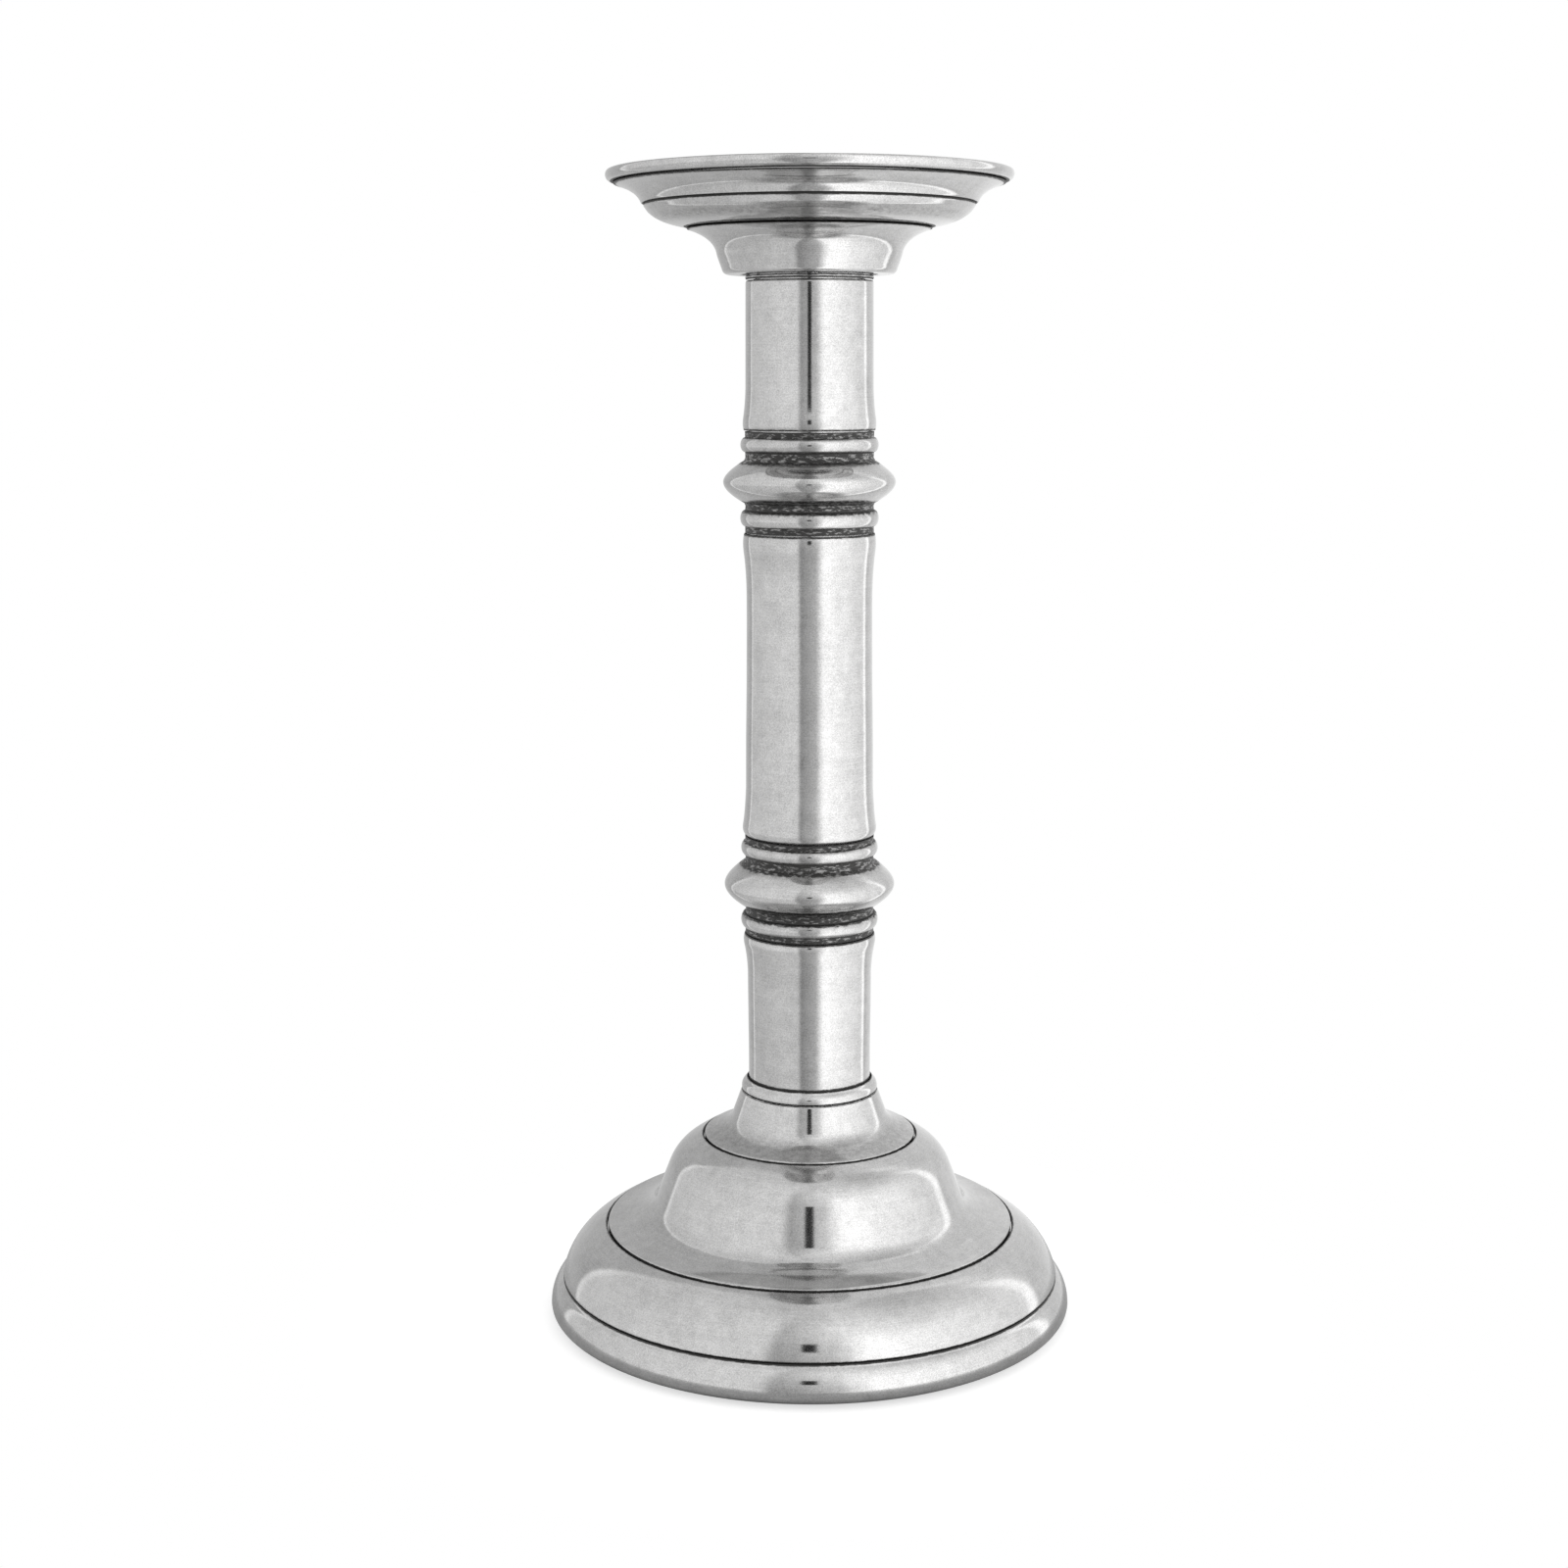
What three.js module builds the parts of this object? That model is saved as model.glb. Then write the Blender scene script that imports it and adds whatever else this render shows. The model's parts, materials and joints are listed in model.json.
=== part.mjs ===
// A pillar candlestick: turned metal rings, tubes and knops stacked on a tie rod, with a lift-off
// drip pan. Millimetres, +Z up, origin on the column's axis in the plane that the foot rests on.

import * as THREE from 'three';

// Clearances and sections
const GAP = 0.3;                // left between pieces that touch
const SLIDE_GAP = 0.4;          // round the pan's spigot, which lifts out
const WIDE_FACETS = 32;         // sides of the base and pan pieces
const COLUMN_FACETS = 24;       // sides of the pieces as slim as the column
const SMALL_FACETS = 16;        // sides of rod, washers and other small pieces

// Heights of the joints, from the table up
const FOOT_TOP = 10.6;
const SKIRT_TOP = 24.6;
const DOME_TOP = 48.8;
const CONE_TOP = 61.1;
const COLLAR_TOP = 64.4;
const LOWER_KNOP_FOOT = 104.2;
const LOWER_KNOP_TOP = 130.1;
const UPPER_KNOP_FOOT = 209.4;
const UPPER_KNOP_TOP = 235.1;
const COLUMN_TOP = 272.9;
const CUP_FOOT = 274.4;
const PAN_FOOT = 286.1;
const RIM_FOOT = 297.2;
const HEIGHT = 300;

// Radii of the outline at those joints
const FOOT_RADIUS = 69.8;
const SKIRT_RADIUS = 66.5;
const DOME_RADIUS = 54.2;
const CONE_RADIUS = 28.1;
const COLLAR_RADIUS = 18.2;
const TUBE_RADIUS = 16.4;
const BEAD_RADIUS = 18;
const KNOP_RADIUS = 22.3;
const CUP_RADIUS = 22.2;
const PAN_FOOT_RADIUS = 31.7;
const RIM_RADIUS = 51.4;

// Inside the column
const TUBE_BORE = 13.9;
const KNOP_BORE = 10.5;
const PLUG_LEDGE_BORE = 11;
const PLUG_LEDGE = 242.3;       // ledge in the upper tube that the plug bears on
const PLUG_THICKNESS = 4;
const TUBE_SEAT = 53.4;         // shoulder in the cone that the lower tube stands on
const SPIGOT_LENGTH = 5.1;

// Fasteners: M6 rod, nuts and washers
const ROD_RADIUS = 3;
const ROD_HOLE = ROD_RADIUS + GAP;
const NUT_ACROSS_FLATS = 10;
const NUT_HEIGHT = 5;
const WASHER_RADIUS = 6.25;
const WASHER_THICKNESS = 1.5;
const ROD_END = 1.3;            // thread that shows beyond a nut

// Base closure
const CLOSURE_RADIUS = 61.1;    // plate and felt, inside the foot ring
const FELT_THICKNESS = 2;
const PLATE_THICKNESS = 1.5;
const NUT_WELL_RADIUS = 10;     // raised middle of the plate, where the lower nut hides
const NUT_WELL_TOP = 12;

// Pan
const PAN_FLOOR = 288;
const PAN_FLOOR_RADIUS = 36;
const PRICKET_TIP = 299.6;
const PRICKET_FLANGE_RADIUS = 8;
const PRICKET_SEAT_DEPTH = 0.5; // recess in the floor that centres the pricket's flange
const SPIGOT_FOOT = 256.5;
const SPIGOT_BORE = 11;
const SPIGOT_WEB = 1.9;
const CUP_WALL = 2.2;
const SEAT_RING_BORE = 14.2;

// Finishes
const SILVER = { color: 0xb9babb, roughness: 0.34, metalness: 1 };
const STEEL = { color: 0x9fa3a6, roughness: 0.4, metalness: 1 };
const IRON = { color: 0x4a4a4c, roughness: 0.8, metalness: 1 };
const FELT = { color: 0x26382d, roughness: 1, metalness: 0 };

const stick = new THREE.Group();

/** A point of an outline: radius from the axis, height above the table. */
function at(radius, height) {
  return new THREE.Vector2(radius, height);
}

/** Points along a curve from one point to another, pulled towards a third. */
function sweep(from, pull, to, steps = 4) {
  return new THREE.QuadraticBezierCurve(from, pull, to).getPoints(steps);
}

/** Points up a half-round swelling of the outline, from its lower edge to its upper edge. */
function swelling(edgeRadius, crestRadius, low, high, steps) {
  const middle = (low + high) / 2;
  const rise = (high - low) / 2;
  const reach = crestRadius - edgeRadius;
  const half = Math.PI / 2;
  return new THREE.EllipseCurve(edgeRadius, middle, reach, rise, -half, half).getPoints(steps);
}

/** Adds one piece to the stick under its name. */
function add(name, geometry, finish) {
  const piece = new THREE.Mesh(geometry, new THREE.MeshStandardMaterial(finish));
  piece.name = name;
  stick.add(piece);
}

/** Turns an outline about Z. It runs up the outside, and down the inside or from axis to axis. */
function turned(name, facets, outline, finish) {
  const onAxis = outline[0].x === 0;
  const loop = onAxis ? outline : [...outline, outline[0].clone()];
  const clean = loop.filter((point, i) => i === 0 || point.distanceTo(loop[i - 1]) > GAP / 10);
  const geometry = new THREE.LatheGeometry(clean, facets);
  geometry.rotateX(Math.PI / 2);
  add(name, geometry, finish);
}

/** A plain ring or, with no bore, a disc. */
function ring(name, facets, bore, radius, low, high, finish) {
  turned(name, facets, [at(bore, low), at(radius, low), at(radius, high), at(bore, high)], finish);
}

/** A hexagon nut standing on a height. */
function nut(name, low) {
  const corner = NUT_ACROSS_FLATS / Math.sqrt(3);
  const corners = [0, 1, 2, 3, 4, 5].map((i) => {
    const angle = i * Math.PI / 3;
    return at(corner * Math.cos(angle), corner * Math.sin(angle));
  });
  const face = new THREE.Shape(corners);
  const hole = new THREE.Path();
  hole.absarc(0, 0, ROD_HOLE, 0, 2 * Math.PI, true);
  face.holes.push(hole);
  const extrusion = { depth: NUT_HEIGHT, bevelEnabled: false, curveSegments: SMALL_FACETS };
  const geometry = new THREE.ExtrudeGeometry(face, extrusion);
  geometry.translate(0, 0, low);
  add(name, geometry, STEEL);
}

function washer(name, low) {
  ring(name, SMALL_FACETS, ROD_HOLE, WASHER_RADIUS, low, low + WASHER_THICKNESS, STEEL);
}

/** Felt, plate and weight that close the underside of the base. */
function baseClosure() {
  const plateLow = FELT_THICKNESS + GAP;
  const plateHigh = plateLow + PLATE_THICKNESS;
  const wellHigh = NUT_WELL_TOP + PLATE_THICKNESS;
  const wellOuter = NUT_WELL_RADIUS + PLATE_THICKNESS;
  const weightRadius = 54;
  const weightEdge = 11;
  const weightTopRadius = 40;
  const weightTop = 19;
  ring('felt_pad', WIDE_FACETS, 0, CLOSURE_RADIUS, 0, FELT_THICKNESS, FELT);
  turned('bottom_plate', WIDE_FACETS, [
    at(ROD_HOLE, NUT_WELL_TOP),
    at(NUT_WELL_RADIUS, NUT_WELL_TOP),
    at(NUT_WELL_RADIUS, plateLow),
    at(CLOSURE_RADIUS, plateLow),
    at(CLOSURE_RADIUS, plateHigh),
    at(wellOuter, plateHigh),
    at(wellOuter, wellHigh),
    at(ROD_HOLE, wellHigh),
  ], STEEL);
  turned('base_weight', WIDE_FACETS, [
    at(wellOuter + GAP, plateHigh + GAP),
    at(weightRadius, plateHigh + GAP),
    at(weightRadius, weightEdge),
    at(weightTopRadius, weightTop),
    at(ROD_HOLE, weightTop),
    at(ROD_HOLE, wellHigh + GAP),
    at(wellOuter + GAP, wellHigh + GAP),
  ], IRON);
}

/** Foot: a low rounded band with a ledge inside that the plate is pulled up against. */
function footRing() {
  const round = 8.8;
  const crest = 3.3;
  const end = Math.asin((FOOT_TOP - 1 - crest) / round);
  const curve = new THREE.EllipseCurve(FOOT_RADIUS - round, crest, round, round, 0, end);
  const bore = CLOSURE_RADIUS + GAP;
  const ledgeLow = FELT_THICKNESS + PLATE_THICKNESS + 2 * GAP;
  const ledgeHigh = 7.4;
  const ledgeBore = 57;
  const topBore = 61;
  const landRadius = 65.2;      // of the flat that rests on the table
  turned('foot_ring', WIDE_FACETS, [
    at(bore, 0),
    ...sweep(at(landRadius, 0), at(FOOT_RADIUS - 0.1, 1.3), at(FOOT_RADIUS, crest), 3),
    ...curve.getPoints(5),
    at(SKIRT_RADIUS - 0.2, FOOT_TOP),
    at(topBore, FOOT_TOP),
    at(topBore, ledgeHigh),
    at(ledgeBore, ledgeHigh),
    at(ledgeBore, ledgeLow),
    at(bore, ledgeLow),
  ], SILVER);
}

/** Skirt: a quarter-round shell from the foot ring up to the dome's edge. */
function baseSkirt() {
  const low = FOOT_TOP + GAP;
  const flangeTop = SKIRT_TOP - 0.9;
  const flangeLow = flangeTop - 2;
  const flangeBore = 47;
  const wallRadius = 60.7;
  const wallBore = 58.3;
  const wallFoot = 7.7;
  turned('base_skirt', WIDE_FACETS, [
    at(wallRadius, low),
    ...sweep(at(SKIRT_RADIUS, low), at(64.3, 20), at(DOME_RADIUS + 0.5, SKIRT_TOP), 6),
    at(DOME_RADIUS + GAP, flangeTop),
    at(flangeBore, flangeTop),
    at(flangeBore, flangeLow),
    ...sweep(at(52.6, flangeLow), at(58, 18.5), at(wallBore, 12), 3),
    at(wallBore, wallFoot),
    at(wallRadius, wallFoot),
  ], SILVER);
}

/** Dome: a flange that hollows up into a near-upright wall, then a sloping shoulder. */
function baseDome() {
  const low = SKIRT_TOP - 0.6;
  const flangeTop = DOME_TOP - 0.8;
  const flangeLow = flangeTop - 2;
  const wallFoot = at(40.6, 30.4);
  const wallTop = at(37.8, 40);
  const shoulder = at(34.7, 44.7);
  const innerWallFoot = at(38.6, 30.2);
  const innerShoulder = at(31.9, 43.8);
  const flangeBore = 20;
  const spigotRadius = 46.7;
  const spigotBore = 44.5;
  const spigotFoot = 21;
  turned('base_dome', WIDE_FACETS, [
    at(spigotRadius, low),
    at(DOME_RADIUS, low),
    ...sweep(at(DOME_RADIUS - 0.1, SKIRT_TOP + 0.5), at(42.4, 26.5), wallFoot, 5),
    ...sweep(wallTop, at(36.7, 42.8), shoulder, 3),
    ...sweep(shoulder, at(33.2, 46.3), at(CONE_RADIUS + 0.5, DOME_TOP), 2),
    at(CONE_RADIUS + GAP, flangeTop),
    at(flangeBore, flangeTop),
    at(flangeBore, flangeLow),
    at(CONE_RADIUS + GAP, flangeLow),
    innerShoulder,
    ...sweep(innerWallFoot, at(39.8, 25.6), at(spigotBore, 24.5), 3),
    at(spigotBore, spigotFoot),
    at(spigotRadius, spigotFoot),
  ], SILVER);
}

/** Cone: flares out to the dome and holds the socket that the column stands in. */
function baseCone() {
  const low = DOME_TOP - 0.5;
  const webLow = 44.5;
  const webHigh = 48.5;
  const socket = TUBE_RADIUS + GAP;
  const spigot = 19.7;
  turned('base_cone', COLUMN_FACETS, [
    at(spigot, low),
    at(CONE_RADIUS, low),
    at(CONE_RADIUS, DOME_TOP + 0.5),
    ...sweep(at(24.5, 51), at(21.2, 52.7), at(19.9, 56.1)),
    at(COLLAR_RADIUS + 0.15, CONE_TOP - 0.4),
    at(COLLAR_RADIUS - 0.3, CONE_TOP),
    at(socket, CONE_TOP),
    at(socket, TUBE_SEAT),
    at(TUBE_BORE, TUBE_SEAT),
    at(TUBE_BORE, webHigh),
    at(ROD_HOLE, webHigh),
    at(ROD_HOLE, webLow),
    at(spigot, webLow),
  ], SILVER);
}

/** Collar: a small rounded ring that covers the joint of column and base. */
function baseCollar() {
  const low = CONE_TOP + GAP;
  const bore = TUBE_RADIUS + GAP;
  turned('base_collar', COLUMN_FACETS, [
    at(bore, low),
    at(COLLAR_RADIUS - 0.2, low),
    ...sweep(at(COLLAR_RADIUS, low + 0.4), at(COLLAR_RADIUS, 63.5), at(17, COLLAR_TOP), 3),
    at(bore, COLLAR_TOP),
  ], SILVER);
}

/** The three plain lengths of the column, each flared to a rounded lip beside a knop. */
function columnTubes() {
  const low = TUBE_SEAT + GAP;
  const lowerTop = LOWER_KNOP_FOOT - GAP;
  turned('lower_tube', COLUMN_FACETS, [
    at(TUBE_BORE, low),
    at(TUBE_RADIUS - 0.1, low),
    at(TUBE_RADIUS, 93.5),
    ...sweep(at(TUBE_RADIUS, 93.5), at(16.5, 97.3), at(17.4, 101.2), 3),
    ...sweep(at(17.4, 101.2), at(17.8, 103), at(17, lowerTop), 2),
    at(TUBE_BORE, lowerTop),
  ], SILVER);

  const middleLow = LOWER_KNOP_TOP + GAP;
  const middleTop = UPPER_KNOP_FOOT - GAP;
  turned('middle_tube', COLUMN_FACETS, [
    at(TUBE_BORE, middleLow),
    ...sweep(at(17, middleLow), at(17.9, 131.6), at(17.4, 133.4), 2),
    ...sweep(at(17.4, 133.4), at(16.7, 137), at(TUBE_RADIUS + 0.2, 145), 3),
    at(TUBE_RADIUS + 0.2, 157),
    at(TUBE_RADIUS - 0.1, 190),
    ...sweep(at(TUBE_RADIUS - 0.1, 190), at(16.2, 197), at(16.95, 204), 3),
    ...sweep(at(16.95, 204), at(17.5, 207.2), at(16.8, middleTop), 2),
    at(TUBE_BORE, middleTop),
  ], SILVER);

  const upperLow = UPPER_KNOP_TOP + GAP;
  const ledgeFoot = upperLow + SPIGOT_LENGTH;
  turned('upper_tube', COLUMN_FACETS, [
    at(TUBE_BORE, upperLow),
    ...sweep(at(16.8, upperLow), at(17.3, 236.9), at(16.95, 238.6), 2),
    ...sweep(at(16.95, 238.6), at(16.5, 242), at(TUBE_RADIUS, 246), 3),
    at(TUBE_RADIUS - 0.1, COLUMN_TOP - 0.4),
    at(TUBE_RADIUS - 0.5, COLUMN_TOP),
    at(TUBE_BORE, COLUMN_TOP),
    at(TUBE_BORE, PLUG_LEDGE),
    at(PLUG_LEDGE_BORE, PLUG_LEDGE),
    at(PLUG_LEDGE_BORE, ledgeFoot),
    at(TUBE_BORE, ledgeFoot),
  ], SILVER);
}

/** A knop: bead, neck, large half-round, neck and bead, with a spigot into each tube. */
function knop(name, low, high, neckRadius) {
  const spigot = TUBE_BORE - GAP;
  const middle = (low + high) / 2;
  const beadFoot = 1.6;         // from the end of the knop to its bead
  const beadHeight = 3.8;
  const knopHeight = 11.2;
  const knopLow = middle - knopHeight / 2;
  const knopHigh = middle + knopHeight / 2;
  const lowerBead = low + beadFoot;
  const upperBead = high - beadFoot;
  const lowerBeadTop = lowerBead + beadHeight;
  const upperBeadFoot = upperBead - beadHeight;
  turned(name, COLUMN_FACETS, [
    at(spigot, low),
    at(neckRadius, low),
    ...swelling(neckRadius, BEAD_RADIUS, lowerBead, lowerBeadTop, 4),
    ...swelling(neckRadius, KNOP_RADIUS, knopLow, knopHigh, 6),
    ...swelling(neckRadius, BEAD_RADIUS, upperBeadFoot, upperBead, 4),
    at(neckRadius, high),
    at(spigot, high),
    at(spigot, high + SPIGOT_LENGTH),
    at(KNOP_BORE, high + SPIGOT_LENGTH),
    at(KNOP_BORE, low - SPIGOT_LENGTH),
    at(spigot, low - SPIGOT_LENGTH),
  ], SILVER);
}

/** The rod that clamps the stack, with its plug, washers and nuts. */
function tieRod() {
  const lowerWasher = NUT_WELL_TOP - GAP - WASHER_THICKNESS;
  const lowerNut = lowerWasher - GAP - NUT_HEIGHT;
  const plugLow = PLUG_LEDGE + GAP;
  const plugHigh = plugLow + PLUG_THICKNESS;
  const upperWasher = plugHigh + GAP;
  const upperNut = upperWasher + WASHER_THICKNESS + GAP;
  const rodLow = lowerNut - ROD_END;
  const rodHigh = upperNut + NUT_HEIGHT + ROD_END;
  washer('rod_washer_bottom', lowerWasher);
  nut('rod_nut_bottom', lowerNut);
  ring('top_plug', COLUMN_FACETS, ROD_HOLE, TUBE_BORE - GAP, plugLow, plugHigh, STEEL);
  washer('rod_washer_top', upperWasher);
  nut('rod_nut_top', upperNut);
  ring('tie_rod', SMALL_FACETS, 0, ROD_RADIUS, rodLow, rodHigh, STEEL);
}

/** Seat ring, spigot and cup: the part of the pan that sits in and on the column. */
function panSocket() {
  const seatTop = CUP_FOOT - GAP;
  const spigot = TUBE_BORE - SLIDE_GAP;
  const webLow = seatTop - SPIGOT_WEB;
  ring('seat_ring', COLUMN_FACETS, SEAT_RING_BORE, TUBE_RADIUS - 0.1, COLUMN_TOP + GAP, seatTop,
    SILVER);
  turned('pan_spigot', COLUMN_FACETS, [
    at(ROD_HOLE, webLow),
    at(SPIGOT_BORE, webLow),
    at(SPIGOT_BORE, SPIGOT_FOOT),
    at(spigot, SPIGOT_FOOT),
    at(spigot, seatTop),
    at(ROD_HOLE, seatTop),
  ], SILVER);

  const waist = at(24, 280.4);
  const lipBore = 27.5;
  const lip = PAN_FOOT - GAP;
  const floor = CUP_FOOT + CUP_WALL;
  turned('pan_cup', COLUMN_FACETS, [
    at(ROD_HOLE, CUP_FOOT),
    at(CUP_RADIUS - 0.6, CUP_FOOT),
    at(CUP_RADIUS, CUP_FOOT + 0.6),
    ...sweep(at(22.7, 276.6), at(23.3, 278.4), waist, 2),
    ...sweep(waist, at(24.3, 283.5), at(PAN_FOOT_RADIUS - 0.6, lip - 0.4), 5),
    at(PAN_FOOT_RADIUS - 0.9, lip),
    at(lipBore, lip),
    ...sweep(at(lipBore, lip), at(23, 284.2), at(21.8, 280.8), 3),
    at(20.3, floor),
    at(ROD_HOLE, floor),
  ], SILVER);
}

/** Drip pan: flat floor, rising side with a scribed groove, and an applied rim. */
function dripPan() {
  const groove = at(42.3, 291.6);
  const grooveDepth = 0.6;
  const edge = RIM_FOOT - GAP;
  const edgeRadius = 49.5;
  const edgeBore = 46;
  const innerBend = at(40.2, 291.6);
  const seatRadius = PRICKET_FLANGE_RADIUS + SLIDE_GAP;
  turned('drip_pan', WIDE_FACETS, [
    at(ROD_HOLE, PAN_FOOT),
    ...sweep(at(PAN_FOOT_RADIUS, PAN_FOOT), at(38.2, 287.3), at(groove.x - 0.2, groove.y - 0.2), 5),
    at(groove.x - grooveDepth, groove.y + grooveDepth / 2),
    ...sweep(at(groove.x + 0.2, groove.y + 0.3), at(43.9, 295.2), at(edgeRadius, edge - 0.4)),
    at(edgeRadius - 0.3, edge),
    at(edgeBore, edge),
    ...sweep(at(edgeBore, edge), at(41.5, 294.6), innerBend, 3),
    ...sweep(innerBend, at(38.6, PAN_FLOOR + 0.2), at(PAN_FLOOR_RADIUS, PAN_FLOOR), 3),
    at(seatRadius, PAN_FLOOR),
    at(seatRadius, PAN_FLOOR - PRICKET_SEAT_DEPTH),
    at(ROD_HOLE, PAN_FLOOR - PRICKET_SEAT_DEPTH),
  ], SILVER);
  const rimCrest = at(RIM_RADIUS, 298.8);
  const rimFootRadius = 50;
  const rimTopRadius = 50.3;
  const rimTopBore = 49;
  turned('pan_rim', WIDE_FACETS, [
    at(edgeBore + GAP, RIM_FOOT),
    at(rimFootRadius, RIM_FOOT),
    ...sweep(at(rimFootRadius, RIM_FOOT), at(RIM_RADIUS, RIM_FOOT), rimCrest, 3),
    ...sweep(rimCrest, at(RIM_RADIUS - 0.1, HEIGHT), at(rimTopRadius, HEIGHT), 2),
    at(rimTopBore, HEIGHT),
    at(47.2, 298.6),
  ], SILVER);
}

/** Pricket: the candle's spike, and the bolt that clamps pan, cup and spigot together. */
function pricketBolt() {
  const washerLow = CUP_FOOT - GAP - SPIGOT_WEB - GAP - WASHER_THICKNESS;
  const nutLow = washerLow - GAP - NUT_HEIGHT;
  const flangeLow = PAN_FLOOR - PRICKET_SEAT_DEPTH + GAP;
  const spikeRadius = 2.6;
  const flangeEdge = 0.7;
  const filletHeight = 1.5;
  ring('spacer_sleeve', SMALL_FACETS, ROD_HOLE, ROD_HOLE + CUP_WALL, CUP_FOOT + CUP_WALL + GAP,
    PAN_FOOT - GAP, STEEL);
  turned('pricket', SMALL_FACETS, [
    at(0, nutLow - ROD_END),
    at(ROD_RADIUS, nutLow - ROD_END),
    at(ROD_RADIUS, flangeLow),
    at(PRICKET_FLANGE_RADIUS, flangeLow),
    at(PRICKET_FLANGE_RADIUS, flangeLow + flangeEdge),
    at(spikeRadius, flangeLow + filletHeight),
    at(0, PRICKET_TIP),
  ], SILVER);
  washer('pricket_washer', washerLow);
  nut('pricket_nut', nutLow);
}

baseClosure();
footRing();
baseSkirt();
baseDome();
baseCone();
baseCollar();
columnTubes();
knop('lower_knop', LOWER_KNOP_FOOT, LOWER_KNOP_TOP, 16.9);
knop('upper_knop', UPPER_KNOP_FOOT, UPPER_KNOP_TOP, 16.6);
tieRod();
panSocket();
dripPan();
pricketBolt();

export default stick;
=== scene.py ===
"""Turned pewter pillar candlestick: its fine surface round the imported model, its studio and its camera.

Outlines are half sections, drawn in millimetres as (radius, height) pairs: up the outside of a piece,
then down its inside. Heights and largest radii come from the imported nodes' boxes.
"""
import json
import math

import bmesh
import bpy
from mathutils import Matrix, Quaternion, Vector, noise


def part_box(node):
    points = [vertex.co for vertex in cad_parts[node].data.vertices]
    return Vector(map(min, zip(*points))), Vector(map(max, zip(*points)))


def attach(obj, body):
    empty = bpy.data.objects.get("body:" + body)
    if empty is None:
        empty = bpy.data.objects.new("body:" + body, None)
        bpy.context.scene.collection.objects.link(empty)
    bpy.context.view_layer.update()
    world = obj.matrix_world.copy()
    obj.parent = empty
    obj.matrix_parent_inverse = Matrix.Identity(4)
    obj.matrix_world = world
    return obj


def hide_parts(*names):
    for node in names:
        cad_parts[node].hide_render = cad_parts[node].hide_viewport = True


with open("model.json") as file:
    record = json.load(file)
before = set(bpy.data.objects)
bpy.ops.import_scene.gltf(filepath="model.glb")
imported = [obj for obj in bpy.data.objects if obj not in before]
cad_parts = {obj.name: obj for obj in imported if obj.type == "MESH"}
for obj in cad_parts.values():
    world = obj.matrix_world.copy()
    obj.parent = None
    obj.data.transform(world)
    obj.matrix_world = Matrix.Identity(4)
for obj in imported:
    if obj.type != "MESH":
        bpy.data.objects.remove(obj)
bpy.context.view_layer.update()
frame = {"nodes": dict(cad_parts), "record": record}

MM = 0.001
TURN_STEPS = 256          # faces round a wide piece
SMALL_TURN_STEPS = 96     # faces round a bolt or spike
FINE_STEP = 0.16          # longest face beside a groove, up the outline, in millimetres
STEP_GROWTH = 0.35        # how much longer faces get with each millimetre from a groove
LONGEST_STEP = 3.0
SAME_POINT = 1e-4         # points no further apart than this, in millimetres, are one
ON_AXIS = 1e-6            # largest radius, in millimetres, of a point on the axis
FAR = 99.0                # distance, in millimetres, that counts as clear of every groove
SHARP_EDGE = math.radians(38)
PEWTER = 0.50             # how much of the light clean metal reflects
WOBBLE = 0.012            # how far hand finishing leaves a turned surface from true, in millimetres
WOBBLE_ROUND = 2.2        # unevenness round a piece, in noise cells to its radius
WOBBLE_UP = 0.09          # unevenness up a piece, in noise cells to the millimetre
TARNISH_AND_SHADE_FALLOFF = 4       # how sharply tarnish and painted shade stop beside a dark line
ROD_HOLE = 3.3            # radius of a hole for the M6 rod or bolt, in millimetres
TUBE_BORE = 13.9          # inside radius of the column, in millimetres


# ---------------------------------------------------------------- outlines

def extent(node):
    """A node's lowest and highest height and its largest radius, in millimetres."""
    low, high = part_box(node)
    return low[2] / MM, high[2] / MM, high[0] / MM


def sweep(start, pull, end, steps=10):
    """Points along a curve from one point to another, pulled towards a third."""
    points = []
    for i in range(steps + 1):
        t = i / steps
        weights = ((1 - t) ** 2, 2 * t * (1 - t), t ** 2)
        points.append(tuple(sum(w * p[k] for w, p in zip(weights, (start, pull, end))) for k in (0, 1)))
    return points


def arc(centre, radius, start, end, steps=16):
    """Points along a round, its angles in degrees from straight out to straight up."""
    points = []
    for i in range(steps + 1):
        angle = math.radians(start + (end - start) * i / steps)
        points.append((centre[0] + radius * math.cos(angle), centre[1] + radius * math.sin(angle)))
    return points


def bead(edge, crest, low, high, steps=14):
    """Points up a half-round bead of the outline."""
    middle, rise = (low + high) / 2, (high - low) / 2
    points = []
    for i in range(steps + 1):
        angle = math.pi * (i / steps - 0.5)
        points.append((edge + (crest - edge) * math.cos(angle), middle + rise * math.sin(angle)))
    return points


def scribed(point, lean, half_width, depth):
    """Points of a V groove cut square to an outline that leans by so many degrees from upright."""
    along = Vector((-math.sin(math.radians(lean)), math.cos(math.radians(lean))))
    inward = Vector((-along.y, along.x))
    middle = Vector(point)
    shoulder = half_width * 1.5
    eased = depth * 0.25
    return [
        tuple(middle - along * shoulder),
        tuple(middle - along * half_width + inward * eased),
        tuple(middle + inward * depth),
        tuple(middle + along * half_width + inward * eased),
        tuple(middle + along * shoulder),
    ]


def joint(inner, outer, height, half_width=0.3, strength=1.7):
    """Dark lines side by side along the flat face of a joint."""
    steps = math.ceil((outer - inner) / half_width)
    return [(inner + (outer - inner) * i / steps, height, half_width, strength) for i in range(steps + 1)]


# ---------------------------------------------------------------- meshes

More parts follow.
